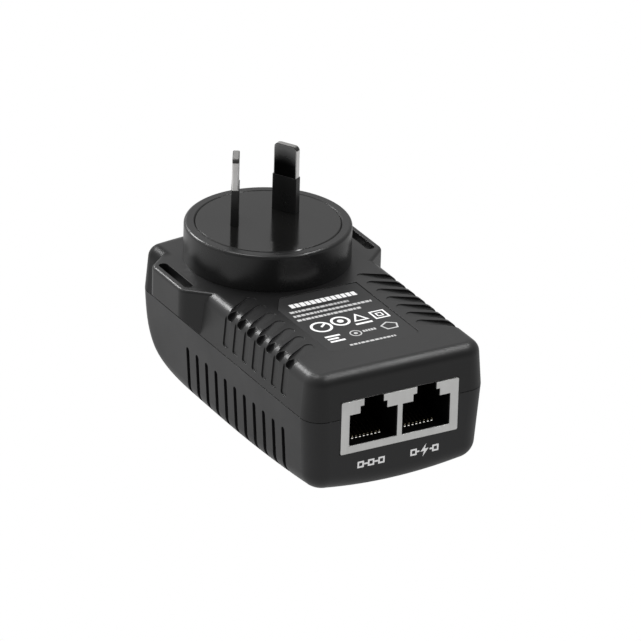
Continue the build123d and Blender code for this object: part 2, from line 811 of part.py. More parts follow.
def make_cans(spots, radius, height):
    """Electrolytic cans: rolled groove near the leads, rounded far rim."""
    lead_pitch = 5.0
    roll_drop, roll_h, roll_depth = 1.8, 0.9, 0.45
    with BuildPart() as cans:
        with BuildSketch(Plane.XY.offset(seat_z)):
            with Locations(*spots):
                Circle(radius)
        extrude(amount=-height)
        far = [e for e in cans.edges().filter_by(GeomType.CIRCLE)
               if e.center().Z < seat_z - height + 0.1]
        fillet(far, 0.7)
        with BuildSketch(Plane.XY.offset(seat_z - roll_drop)):
            with Locations(*spots):
                Circle(radius + 1)
                Circle(radius - roll_depth, mode=Mode.SUBTRACT)
        extrude(amount=-roll_h, mode=Mode.SUBTRACT)
        extrude(lead_dots([(x + side * lead_pitch / 2, y) for x, y in spots
                           for side in (-1, 1)]),
                amount=lead_root - lead_end)
    return cans.part


def make_pwm_controller():
    x, y = -14.5, -21.5
    body_h = 3.3
    dot_y, dot_r, dot_depth = -17.4, 0.8, 0.4
    with BuildPart() as chip:
        with BuildSketch(Plane.XY.offset(seat_z)):
            with Locations((x, y)):
                Rectangle(6.4, 9.4)
        extrude(amount=-body_h)
        with BuildSketch(Plane.XY.offset(seat_z - body_h)):
            with Locations((x, dot_y)):
                Circle(dot_r)
        extrude(amount=dot_depth, mode=Mode.SUBTRACT)
        extrude(lead_dots(dip_leads(x, y, pitch=2.54, count=4), fine_lead_r),
                amount=lead_root - lead_end)
    return chip.part


transistor_y = -13.5     # shared by the transistor and its heatsink


def make_switching_transistor():
    tab_x, tab_thick = 16.4, 1.3
    body_thick = 3.2
    width = 10.0
    lead_x, lead_pitch, lead_top = 14.7, 2.54, -19.5
    with BuildPart() as transistor:
        # metal tab with its hole
        with BuildSketch(Plane.YZ.offset(tab_x)):
            with Locations((transistor_y, -26.6)):
                Rectangle(width, 15.2)
            with Locations((transistor_y, -31.6)):
                Circle(1.8, mode=Mode.SUBTRACT)
        extrude(amount=tab_thick)
        with BuildSketch(Plane.YZ.offset(tab_x - body_thick)):
            with Locations((transistor_y, -23.6)):
                Rectangle(width, 9.2)
        extrude(amount=body_thick)
        extrude(lead_dots([(lead_x, transistor_y + i * lead_pitch) for i in (-1, 0, 1)]),
                amount=lead_top - lead_end)
    return transistor.part


def make_heatsink():
    plate_mid_x, thick = 18.45, 1.4
    length, height = 14.4, 19.5
    flange_x, flange_w = 16.4, 5.5
    lead_reach = 5.5
    with BuildPart() as heatsink:
        with BuildSketch(Plane.XY.offset(seat_z)):
            with Locations((plate_mid_x, transistor_y)):
                Rectangle(thick, length)
        extrude(amount=-height)
        # flange turned inward at the end away from the board
        with BuildSketch(Plane.XY.offset(seat_z - height + thick)):
            with Locations((flange_x, transistor_y)):
                Rectangle(flange_w, length)
        extrude(amount=-thick)
        extrude(lead_dots([(plate_mid_x, transistor_y - lead_reach),
                           (plate_mid_x, transistor_y + lead_reach)], 0.5),
                amount=lead_root - lead_end)
    return heatsink.part


# transformer
trafo_x, trafo_y, trafo_z = 1.5, -27.0, -27.0
trafo_core_t = 6.0
bobbin_top, bobbin_h = -20.4, 13.2
bobbin_w, bobbin_d, bobbin_corner = 7.3, 7.7, 0.8    # tube round the middle limb
flange_t = 1.0


def make_transformer_core():
    window_x = 5.0
    with BuildPart() as core:
        with BuildSketch(Plane.XZ.offset(-trafo_y - trafo_core_t / 2)):
            with Locations((trafo_x, trafo_z)):
                Rectangle(20.0, 19.0)
            with Locations((trafo_x - window_x, trafo_z), (trafo_x + window_x, trafo_z)):
                Rectangle(4.4, 13.4, mode=Mode.SUBTRACT)
        extrude(amount=trafo_core_t)
    return core.part


def make_transformer_bobbin():
    lead_x, lead_y, lead_top = 5.0, 8.0, -21.0
    bore_over = 0.4
    with BuildPart() as bobbin:
        with BuildSketch(Plane.XY.offset(bobbin_top)):
            with Locations((trafo_x, trafo_y)):
                RectangleRounded(bobbin_w, bobbin_d, bobbin_corner)
        extrude(amount=-bobbin_h)
        for z in (bobbin_top, bobbin_top - bobbin_h + flange_t):
            with BuildSketch(Plane.XY.offset(z)):
                with Locations((trafo_x, trafo_y)):
                    Rectangle(14.2, 17.6)
            extrude(amount=-flange_t)
        with BuildSketch(Plane.XY.offset(bobbin_top + bore_over)):
            with Locations((trafo_x, trafo_y)):
                Rectangle(5.7, trafo_core_t + 0.1)
        extrude(amount=-bobbin_h - 2 * bore_over, mode=Mode.SUBTRACT)
        extrude(lead_dots([(trafo_x + i * lead_x, trafo_y + j * lead_y)
                           for i in (-1, 0, 1) for j in (-1, 1)]),
                amount=lead_top - lead_end)
    return bobbin.part


def make_transformer_winding():
    flange_gap, tube_gap = 0.05, 0.03
    with BuildPart() as winding:
        with BuildSketch(Plane.XY.offset(bobbin_top - flange_t - flange_gap)):
            with Locations((trafo_x, trafo_y)):
                RectangleRounded(13.4, 14.6, 2.2)
                RectangleRounded(bobbin_w + 2 * tube_gap, bobbin_d + 2 * tube_gap,
                                 bobbin_corner, mode=Mode.SUBTRACT)
        extrude(amount=-bobbin_h + 2 * (flange_t + flange_gap))
    return winding.part


def make_optocoupler():
    x, y = -15.2, -36.0
    with BuildPart() as optocoupler:
        with BuildSketch(Plane.XY.offset(seat_z)):
            with Locations((x, y)):
                Rectangle(6.4, 4.6)
        extrude(amount=-3.4)
        extrude(lead_dots(dip_leads(x, y, pitch=2.54, count=2), fine_lead_r),
                amount=lead_root - lead_end)
    return optocoupler.part


def make_output_diode():
    x, y, z = 16.6, -29.0, -19.2
    with BuildPart() as diode:
        # body, then the wire through it
        for radius, length in ((2.65, 9.0), (0.5, 15.0)):
            with BuildSketch(Plane.XZ.offset(-y - length / 2)):
                with Locations((x, z)):
                    Circle(radius)
            extrude(amount=length)
        extrude(lead_dots([(x, y + 6.9), (x, y - 6.9)], 0.42), amount=z - 0.4 - lead_end)
    return diode.part


def make_output_inductor():
    x, y = 16.8, -42.0
    flange_drop, waist_r, waist_h = 1.2, 2.8, 6.6
    lead_reach = 1.9
    with BuildPart() as inductor:
        with BuildSketch(Plane.XY.offset(seat_z)):
            with Locations((x, y)):
                Circle(3.2)
        extrude(amount=-9.0)
        # waist between the two flanges
        with BuildSketch(Plane.XY.offset(seat_z - flange_drop)):
            with Locations((x, y)):
                Circle(4.5)
                Circle(waist_r, mode=Mode.SUBTRACT)
        extrude(amount=-waist_h, mode=Mode.SUBTRACT)
        extrude(lead_dots([(x - lead_reach, y), (x + lead_reach, y)]),
                amount=seat_z - 0.6 - lead_end)
    return inductor.part


def make_status_led():
    rim_r, rim_top, rim_h = 1.9, -37.6, 0.9
    lens_top, lens_h, lens_round = -38.4, 3.6, 1.2
    lead_reach, lead_top = 1.27, -38.0
    with BuildPart() as led:
        with BuildSketch(Plane.XY.offset(rim_top)):
            with Locations((led_x, led_y)):
                Circle(rim_r)
        extrude(amount=-rim_h)
        with BuildSketch(Plane.XY.offset(lens_top)):
            with Locations((led_x, led_y)):
                Circle(led_r)
        extrude(amount=-lens_h)
        fillet(led.edges().sort_by(Axis.Z)[0], lens_round)
        extrude(lead_dots([(led_x - lead_reach, led_y), (led_x + lead_reach, led_y)],
                          fine_lead_r),
                amount=lead_top - lead_end)
    return led.part


# chips on the solder side of the board, (x, y) of the small ones
chip_spots = [
    (-16.5, -43.0), (-12.8, -45.8), (-17.5, -47.0), (13.0, -47.0), (17.0, -47.0),
    (-8.0, -29.0), (-8.5, -24.0), (9.5, -30.5), (5.5, -36.5), (-2.5, -36.3),
]


def make_smd_parts():
    with BuildPart() as chips:
        with BuildSketch(Plane.XY.offset(board_z1 + 0.02)):
            for x, y in chip_spots:
                with Locations((x, y)):
                    Rectangle(2.0, 1.25)
            # one longer chip
            with Locations((-18.4, -54.5)):
                Rectangle(3.0, 1.4)
        extrude(amount=0.55)
    return chips.part


def make_main_pcb():
    """Board with chamfered corners, drilled for every lead made so far."""
    side = board_half_w
    front, rear = board_chamfer_front, board_chamfer_rear
    with BuildPart() as board:
        with BuildSketch(Plane.XY.offset(board_z0)):
            with BuildLine():
                Polyline((-side, board_y0 + front), (-side + front, board_y0),
                         (side - front, board_y0), (side, board_y0 + front),
                         (side, board_y1 - rear), (side - rear, board_y1),
                         (-side + rear, board_y1), (-side, board_y1 - rear), close=True)
            make_face()
            for x, y, radius in drill:
                with Locations((x, y)):
                    Circle(radius, mode=Mode.SUBTRACT)
        extrude(amount=board_z1 - board_z0)
    return board.part


# --- build and export ----------------------------------------------------------
# main_pcb comes last because the pieces before it fill the drill list
pieces = {
    "upper_shell": make_upper_shell(),
    "lower_shell": make_lower_shell(),
    "plug_housing": make_plug_housing(),
    "pin_carrier": make_pin_carrier(),
    "pin_active": make_blade(active_seat),
    "pin_neutral": make_blade(neutral_seat),
    "pin_sleeve_active": make_sleeve(active_seat),
    "pin_sleeve_neutral": make_sleeve(neutral_seat),
    "mains_wire_active": make_wire(-blade_x, board_x=-11.0, board_y=3.2),
    "mains_wire_neutral": make_wire(blade_x, board_x=3.0, board_y=5.6),
    "label_plate": make_label_plate(),
    "port_shield": make_port_shield(),
    "port_housing": make_port_housing(),
    "lan_contact_tails": make_tails(lan_row),
    "poe_contact_tails": make_tails(poe_row),
    "lan_contact_springs": make_springs(lan_row),
    "poe_contact_springs": make_springs(poe_row),
    "fuse": make_fuse(),
    "varistor": make_disc(-10.0, 9.0, -22.0, radius=4.6, lead_pitch=5.0, lead_top=-20.0),
    "x_capacitor": make_x_capacitor(),
    "common_mode_choke_core": make_choke_core(),
    "common_mode_choke_winding": make_choke_winding(),
    "bridge_rectifier": make_bridge_rectifier(),
    "bulk_capacitor": make_cans([(-3.0, -4.5)], radius=7.25, height=20.0),
    "output_capacitors": make_cans([(7.2, -41.2), (-7.2, -41.2)], radius=5.0, height=16.0),
    "pwm_controller": make_pwm_controller(),
    "switching_transistor": make_switching_transistor(),
    "heatsink": make_heatsink(),
    "transformer_core": make_transformer_core(),
    "transformer_bobbin": make_transformer_bobbin(),
    "transformer_winding": make_transformer_winding(),
    "y_capacitor": make_disc(-14.5, -31.0, -21.4, radius=4.0, lead_pitch=5.4,
                             lead_top=-19.8),
    "optocoupler": make_optocoupler(),
    "output_diode": make_output_diode(),
    "output_inductor": make_output_inductor(),
    "status_led": make_status_led(),
    "smd_parts": make_smd_parts(),
    "main_pcb": make_main_pcb(),
}

for name, part in pieces.items():
    part.label = name
    export_step(part, f"parts/{name}.step")
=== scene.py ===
"""Plug-in power injector: looks, printed marks and studio.

Metres, +Z up. The two mains blades stand up along +Z near the rear (+Y), the
rating film lies on top facing +Z, and the two ports open on the front (-Y)
face, LAN at -X and PoE at +X.
"""
import json
import math
import random

import bmesh
import bpy
from mathutils import Matrix, Vector


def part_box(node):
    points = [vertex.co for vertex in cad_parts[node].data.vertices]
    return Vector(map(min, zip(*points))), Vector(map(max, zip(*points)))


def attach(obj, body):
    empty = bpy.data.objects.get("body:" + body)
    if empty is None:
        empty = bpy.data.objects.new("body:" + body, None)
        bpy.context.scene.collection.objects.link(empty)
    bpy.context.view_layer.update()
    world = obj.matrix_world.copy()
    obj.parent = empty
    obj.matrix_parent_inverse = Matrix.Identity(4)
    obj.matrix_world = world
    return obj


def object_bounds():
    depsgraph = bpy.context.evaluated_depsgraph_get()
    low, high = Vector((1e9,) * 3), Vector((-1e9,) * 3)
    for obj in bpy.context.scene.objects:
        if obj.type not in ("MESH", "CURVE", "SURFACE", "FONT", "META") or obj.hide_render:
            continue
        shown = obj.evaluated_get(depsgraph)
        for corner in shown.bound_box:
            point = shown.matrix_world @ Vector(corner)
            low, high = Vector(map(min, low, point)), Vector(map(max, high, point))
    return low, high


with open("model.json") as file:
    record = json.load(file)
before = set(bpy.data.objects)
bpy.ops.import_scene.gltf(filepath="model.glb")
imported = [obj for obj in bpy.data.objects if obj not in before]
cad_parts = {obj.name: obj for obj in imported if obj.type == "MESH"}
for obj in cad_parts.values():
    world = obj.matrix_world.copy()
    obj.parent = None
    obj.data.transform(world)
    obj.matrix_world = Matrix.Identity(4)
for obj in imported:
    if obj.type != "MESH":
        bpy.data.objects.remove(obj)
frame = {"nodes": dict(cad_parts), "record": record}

cad_low, cad_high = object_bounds()
random.seed(7)
MM = 0.001
WHITE = (1, 1, 1, 1)
scene = bpy.context.scene
nodes = frame["nodes"]


# ---------------------------------------------------------------------------
# shader node helpers
# ---------------------------------------------------------------------------
def empty_tree(owner):
    """Turn on nodes for a material or world and clear its tree."""
    owner.use_nodes = True
    owner.node_tree.nodes.clear()
    return owner.node_tree


def feed(tree, node, inputs):
    """Link each value that is a socket and set each one that is a constant."""
    for key, value in inputs.items():
        if isinstance(value, bpy.types.NodeSocket):
            tree.links.new(value, node.inputs[key])
        else:
            node.inputs[key].default_value = value


def add(tree, kind, inputs=None, **settings):
    node = tree.nodes.new("ShaderNode" + kind)
    for key, value in settings.items():
        setattr(node, key, value)
    feed(tree, node, inputs or {})
    return node


def new_material(name):
    material = bpy.data.materials.new(name)
    tree = empty_tree(material)
    output = add(tree, "OutputMaterial")
    shader = add(tree, "BsdfPrincipled")
    feed(tree, output, {0: shader.outputs[0]})
    return material, tree, shader


def coords(tree):
    return add(tree, "TexCoord").outputs["Object"]


def noise(tree, place, scale, detail=3.0, rough=0.55):
    return add(tree, "TexNoise", {"Scale": scale, "Detail": detail, "Roughness": rough,
                                  "Vector": place}).outputs["Fac"]


def stretch(tree, place, scale):
    return add(tree, "Mapping", {"Scale": scale, "Vector": place}).outputs[0]


def separate(tree, vector):
    return add(tree, "SeparateXYZ", {0: vector}).outputs


def calc(tree, operation, *operands):
    return add(tree, "Math", dict(enumerate(operands)), operation=operation).outputs[0]


def dot_product(tree, first, second):
    return add(tree, "VectorMath", {0: first, 1: second},
               operation="DOT_PRODUCT").outputs["Value"]


def remap(tree, value, result, source=(0.0, 1.0)):
    """Carry the source range onto the result range, clamped."""
    return add(tree, "MapRange", {"From Min": source[0], "From Max": source[1],
                                  "To Min": result[0], "To Max": result[1],
                                  "Value": value}).outputs[0]


def ramp(tree, fac, stops):
    """Colour ramp from (position, colour) stops."""
    node = add(tree, "ValToRGB", {0: fac})
    elements = node.color_ramp.elements
    while len(elements) < len(stops):
        elements.new(0.5)
    for element, (position, colour) in zip(elements, stops):
        element.position = position
        element.color = (*colour, 1.0)
    return node.outputs[0]


def mix_colour(tree, fac, first, second, blend="MIX"):
    """Mix two colours, each a socket or an RGB tuple."""
    first, second = ((*c, 1.0) if isinstance(c, tuple) else c for c in (first, second))
    # of the Mix node's sockets, inputs 6 and 7 and output 2 are the colour ones
    return add(tree, "Mix", {0: fac, 6: first, 7: second},
               data_type="RGBA", blend_type=blend).outputs[2]


def bevel(tree, radius):
    return add(tree, "Bevel", {"Radius": radius}, samples=4).outputs[0]


def bump(tree, height, strength, distance, normal=None):
    inputs = {"Strength": strength, "Distance": distance, "Height": height}
    if normal is not None:
        inputs["Normal"] = normal
    return add(tree, "Bump", inputs).outputs[0]


def scaled(colour, factor):
    return tuple(c * factor for c in colour)


def grey(level):
    return (level, level, level)


# ---------------------------------------------------------------------------
# material families
# ---------------------------------------------------------------------------
METAL_EDGE = 0.00008        # rounding shaded onto metal edges
WEAR_RADIUS = 0.0005        # reach of scuffing in from a plastic edge
FINE_DEPTH = 0.00001        # relief of brush lines and ink
GRAIN_DEPTH = 0.00002       # relief of moulded grain
WAVE_PER_PITCH = 0.314      # wave texture scale x pitch, for one band per pitch


def edge_wear(tree, radius):
    """0 on flats, up to 1 where the bevelled normal leaves the true one."""
    rounded = bevel(tree, radius)
    true_normal = add(tree, "NewGeometry").outputs["Normal"]
    return remap(tree, dot_product(tree, rounded, true_normal),
                 source=(0.80, 0.995), result=(1.0, 0.0))


def plastic(name, base, rough, grain=0.25, grain_size=0.00025, wear=0.0, spec=0.5,
            mottled=0.12, round_edges=0.00012):
    """Mottled moulding with a fine grain and, where asked, scuffed edges."""
    material, tree, shader = new_material(name)
    place = coords(tree)
    broad = noise(tree, place, scale=55, detail=4)
    fine = noise(tree, place, scale=1.0 / grain_size, detail=2, rough=0.6)
    colour = mix_colour(tree, broad, scaled(base, 1 - mottled), scaled(base, 1 + mottled))
    if wear > 0:
        edge = edge_wear(tree, WEAR_RADIUS)
        scuff = noise(tree, place, scale=900)
        amount = remap(tree, calc(tree, "MULTIPLY", edge, scuff),
                       source=(0.15, 0.8), result=(0.0, wear))
        colour = mix_colour(tree, amount, colour, tuple(min(1, c * 1.9 + 0.02) for c in base))
    rounded = bevel(tree, round_edges) if round_edges else None
    feed(tree, shader, {
        "Base Color": colour,
        "Roughness": remap(tree, broad, source=(0.3, 0.7), result=(rough * 0.86, rough * 1.16)),
        "Specular IOR Level": spec,
        "Coat Roughness": 0.12,
        "Normal": bump(tree, fine, strength=grain, distance=GRAIN_DEPTH, normal=rounded),
    })
    return material


def metal(name, base, rough, brushed, brush_scale, brush, tarnish=0.15):
    """Brushed metal; the lines run along the axis that brushed makes small."""
    material, tree, shader = new_material(name)
    place = coords(tree)
    lines = noise(tree, stretch(tree, place, brushed), scale=brush_scale, rough=0.6)
    broad = noise(tree, place, scale=140, detail=4)
    dulled = remap(tree, broad, source=(0.35, 0.75), result=(0.0, tarnish))
    feed(tree, shader, {
        "Base Color": mix_colour(tree, dulled, base, scaled(base, 0.55)),
        "Metallic": 1.0,
        "Roughness": remap(tree, lines, source=(0.3, 0.7), result=(rough * 0.75, rough * 1.3)),
        "Normal": bump(tree, lines, strength=brush, distance=FINE_DEPTH,
                       normal=bevel(tree, METAL_EDGE)),
    })
    return material


def winding(name, base, rough, pitch, metallic=0.0):
    """Turns of wire or tape: fine rings stacked along Z."""
    material, tree, shader = new_material(name)
    place = coords(tree)
    rings = add(tree, "TexWave",
                {"Scale": WAVE_PER_PITCH / pitch, "Distortion": 0.2, "Vector": place},
                wave_type="BANDS", bands_direction="Z").outputs["Fac"]
    broad = noise(tree, place, scale=300)
    # painted shade: each turn's colour darkens where its bump is low, between the turns
    colour = mix_colour(tree, rings, scaled(base, 0.55), base)
    patches = remap(tree, broad, source=(0.3, 0.7), result=(0.0, 0.35))
    feed(tree, shader, {
        "Base Color": mix_colour(tree, patches, colour, scaled(base, 0.7)),
        "Metallic": metallic,
        "Roughness": rough,
        "Normal": bump(tree, rings, strength=0.6, distance=0.0001),
    })
    return material


# ---------------------------------------------------------------------------
# single materials
# ---------------------------------------------------------------------------
def board_laminate():
    """Green board with darker lines between angular cells."""
    material, tree, shader = new_material("board_green")
    line_colour = (0.02, 0.09, 0.035)
    cell_colour = (0.03, 0.16, 0.06)
    place = coords(tree)
    cells = add(tree, "TexVoronoi", {"Scale": 260, "Vector": stretch(tree, place, (1, 1, 0.0))},
                distance="MANHATTAN", feature="DISTANCE_TO_EDGE").outputs["Distance"]
    weave = noise(tree, place, scale=1500, detail=2)
    tracks = ramp(tree, cells, [(0.0, line_colour), (0.08, line_colour),
                                (0.1, cell_colour), (1.0, cell_colour)])
    feed(tree, shader, {
        "Base Color": mix_colour(tree, remap(tree, weave, result=(0, 0.3)),
                                 tracks, (0.015, 0.07, 0.03)),
        "Roughness": 0.35,
        "Normal": bump(tree, cells, strength=0.2, distance=0.00003),
    })
    return material


def lamp_lens():
    """Clear green lens of the lamp."""
    material, tree, shader = new_material("lamp_lens")
    swirl = noise(tree, coords(tree), scale=900, detail=2)
    feed(tree, shader, {
        "Base Color": mix_colour(tree, swirl, (0.35, 0.75, 0.35), (0.5, 0.9, 0.5)),
        "Transmission Weight": 0.6,
        "Roughness": 0.12,
        "IOR": 1.5,
    })
    return material


def contact_tails():
    """Gold-flashed wire whose bends glow where they face the front (-Y), a painted highlight."""
    material, tree, shader = new_material("contact_bend")
    lines = noise(tree, stretch(tree, coords(tree), (1, 0.1, 1)), scale=4000, rough=0.6)
    facing = separate(tree, add(tree, "NewGeometry").outputs["Normal"])
    feed(tree, shader, {
        "Base Color": mix_colour(tree, lines, (0.80, 0.74, 0.60), (0.92, 0.88, 0.78)),
        "Metallic": 1.0,
        "Roughness": 0.25,
        # painted highlight: emission on the bends that face the front
        "Emission Color": (1.0, 0.98, 0.93, 1),
        "Emission Strength": remap(tree, facing[1], source=(-0.85, -0.35), result=(1.1, 0.0)),
    })
    return material


def blade(name, face_direction):
    """Plated blade: polished broad faces painted near black, a painted reflection; brushed edges
    painted near white, a painted highlight; the brushed tip painted dark, a painted shade.
    """
    material, tree, shader = new_material(name)
    place = coords(tree)
    normal = add(tree, "NewGeometry").outputs["Normal"]
    toward = dot_product(tree, normal, Vector(face_direction).normalized())
    face = remap(tree, calc(tree, "ABSOLUTE", toward), source=(0.90, 0.97), result=(0.0, 1.0))
    lines = noise(tree, stretch(tree, place, (1, 1, 0.05)), scale=2600, rough=0.6)
    cloud = noise(tree, place, scale=260, detail=4)
    # painted reflection: the broad faces get a near-black tone
    tone = mix_colour(tree, cloud, (0.07, 0.07, 0.072), (0.12, 0.12, 0.12))
    # painted highlight: the face tone is painted lighter toward the tip, where it is also
    # rougher
    toward_tip = remap(tree, separate(tree, place)[2], source=(0.0120, 0.0160), result=(0.0, 1.0))
    tone = mix_colour(tree, toward_tip, tone, grey(0.30))
    # painted highlight: the edges get a near-white tone, much lighter than the nickel itself
    edge = mix_colour(tree, lines, (0.96, 0.95, 0.93), (1.0, 0.99, 0.98))
    # painted shade: the rounded tip is painted dark as its normal turns up, and its crest is
    # painted somewhat lighter
    tip = ramp(tree, separate(tree, normal)[2],
               [(0.10, grey(1.0)), (0.28, grey(0.08)), (0.80, grey(0.08)), (0.97, grey(0.30))])
    edge = mix_colour(tree, 1.0, edge, tip, blend="MULTIPLY")
    tip_roughening = 0.30
    feed(tree, shader, {
        "Base Color": mix_colour(tree, face, edge, tone),
        "Metallic": 1.0,
        "Roughness": calc(tree, "MULTIPLY_ADD", toward_tip, tip_roughening,
                          remap(tree, face, result=(0.42, 0.13))),
        "Normal": bump(tree, lines, strength=0.22, distance=FINE_DEPTH,
                       normal=bevel(tree, METAL_EDGE)),
    })
    return material


def dull_rear_corners(material):
    """Cut the upper case's gloss beyond 20 mm in |x| and 11 mm in y, behind the wings."""
    tree = material.node_tree
    x, y, _ = separate(tree, coords(tree))
    outboard = remap(tree, calc(tree, "ABSOLUTE", x), source=(0.0194, 0.0203), result=(0.0, 1.0))
    rearward = remap(tree, y, source=(0.0100, 0.0120), result=(0.0, 1.0))
    both = calc(tree, "MULTIPLY", outboard, rearward)
    feed(tree, tree.nodes["Principled BSDF"],
         {"Specular IOR Level": remap(tree, both, result=(0.5, 0.14))})


def ink(name, level, glow):
    """Speckled white ink; level sets how white it is, glow sets an emission, painted light that
    makes it read whiter.
    """
    material, tree, shader = new_material(name)
    speck = noise(tree, coords(tree), scale=3500, rough=0.7)
    feed(tree, shader, {
        "Base Color": ramp(tree, speck, [(0.25, grey(0.6 * level)), (0.5, grey(0.9 * level)),
                                         (0.75, grey(level))]),
        # painted light: the ink glows by the glow strength
        "Emission Color": WHITE,
        "Emission Strength": glow,
        "Roughness": 0.5,
        "Normal": bump(tree, speck, strength=0.3, distance=FINE_DEPTH),
    })
    return material


# ---------------------------------------------------------------------------
# material of each slot, then of each node
# ---------------------------------------------------------------------------
slot_materials = {
    "upper_case": plastic("case_upper_black", (0.0105, 0.0105, 0.0107), rough=0.36,
                          grain=0.30, grain_size=0.00022, wear=0.10),
    "lower_case": plastic("case_lower_black", (0.0152, 0.0152, 0.0162), rough=0.40,
                          grain=0.34, grain_size=0.00022, wear=0.10),
    "boss_plastic": plastic("boss_black", (0.0095, 0.0095, 0.0097), rough=0.28,
                            grain=0.16, grain_size=0.0002),
    "carrier_plastic": plastic("carrier_black", (0.0062, 0.0062, 0.0060), rough=0.13,
                               grain=0.05, grain_size=0.0002),
    "sleeve_plastic": plastic("sleeve_black", (0.015, 0.015, 0.015), rough=0.30,
                              grain=0.1, grain_size=0.0002),
    "blade_metal": metal("blade_nickel", (0.66, 0.65, 0.63), rough=0.16,
                         brushed=(1, 1, 0.05), brush_scale=2500, brush=0.25),
    "active_wire": plastic("wire_brown", (0.16, 0.05, 0.015), rough=0.4, grain=0.1),
    "neutral_wire": plastic("wire_blue", (0.01, 0.05, 0.28), rough=0.4, grain=0.1),
    "rating_film": plastic("rating_film", (0.0300, 0.0300, 0.0305), rough=0.5, grain=0.12,
                           grain_size=0.00015, round_edges=0, spec=0.3),
    "shield_tin": metal("shield_tin", (0.88, 0.88, 0.865), rough=0.42, brushed=(1, 1, 0.04),
                        brush_scale=1800, brush=0.35, tarnish=0.25),
    "jack_plastic": plastic("jack_nylon", (0.0030, 0.0030, 0.0030), rough=0.5,
                            grain=0.2, spec=0.15),
    "contact_gold": metal("contact_gold", (0.15, 0.13, 0.09), rough=0.3,
                          brushed=(1, 0.1, 1), brush_scale=4000, brush=0.15),
    "fuse_body": plastic("fuse_ceramic", (0.62, 0.58, 0.48), rough=0.4, grain=0.2),
    "varistor_coat": plastic("varistor_blue", (0.02, 0.06, 0.22), rough=0.3,
                             grain=0.3, grain_size=0.0006),
    "film_box": plastic("film_box_yellow", (0.55, 0.36, 0.03), rough=0.32, grain=0.15),
    "ferrite": plastic("ferrite_grey", (0.035, 0.035, 0.038), rough=0.55,
                       grain=0.5, grain_size=0.0003, mottled=0.25),
    "chip_epoxy": plastic("chip_epoxy", (0.012, 0.012, 0.012), rough=0.55,
                          grain=0.4, grain_size=0.00015),
    "can_sleeve": plastic("can_sleeve", (0.012, 0.014, 0.035), rough=0.28, grain=0.1),
    "heatsink_alloy": metal("heatsink_alloy", (0.72, 0.73, 0.74), rough=0.38,
                            brushed=(0.05, 1, 1), brush_scale=1500, brush=0.3),
    "bobbin_resin": plastic("bobbin_resin", (0.03, 0.02, 0.012), rough=0.5, grain=0.3),
    "disc_coat": plastic("disc_blue", (0.03, 0.11, 0.36), rough=0.3,
                         grain=0.3, grain_size=0.0006),
    "opto_epoxy": plastic("opto_white", (0.6, 0.6, 0.56), rough=0.5, grain=0.3),
    "chip_ceramic": plastic("chip_ceramic", (0.12, 0.085, 0.05), rough=0.45, grain=0.3),
    "magnet_wire": winding("choke_copper", (0.55, 0.17, 0.06), rough=0.3, pitch=0.0005,
                           metallic=0.8),
    "winding_tape": winding("winding_tape", (0.62, 0.42, 0.04), rough=0.35, pitch=0.0035),
    "board_laminate": board_laminate(),
    "led_lens": lamp_lens(),
}
dull_rear_corners(slot_materials["upper_case"])

tails = contact_tails()
node_materials = {
    "lan_contact_tails": tails,
    "poe_contact_tails": tails,
    "pin_active": blade("blade_nickel_active", (-0.866, 0.5, 0)),
    "pin_neutral": blade("blade_nickel_neutral", (0.866, 0.5, 0)),
}

slot_of = {part["node"]: part["material_slot"] for part in frame["record"]["subparts"]}
for name, piece in nodes.items():
    material = node_materials.get(name, slot_materials[slot_of[name]])
    if not piece.material_slots:
        piece.data.materials.append(material)
    for material_slot in piece.material_slots:
        material_slot.material = material


# ---------------------------------------------------------------------------
# printed marks, as thin raised ink
# ---------------------------------------------------------------------------
INK_THICK = 0.00002
FILM_GAP = 0.000002         # print held clear of the film
FACE_GAP = 0.000003         # marks held clear of the port face
# both inks carry a little painted light as glow
white_ink = ink("white_ink", level=0.95, glow=0.22)
thin_ink = ink("white_ink_thin", level=0.62, glow=0.07)   # lets the film show through


def circle(u, v, radius, count):
    return [(u + radius * math.cos(2 * math.pi * k / count),
             v + radius * math.sin(2 * math.pi * k / count)) for k in range(count)]


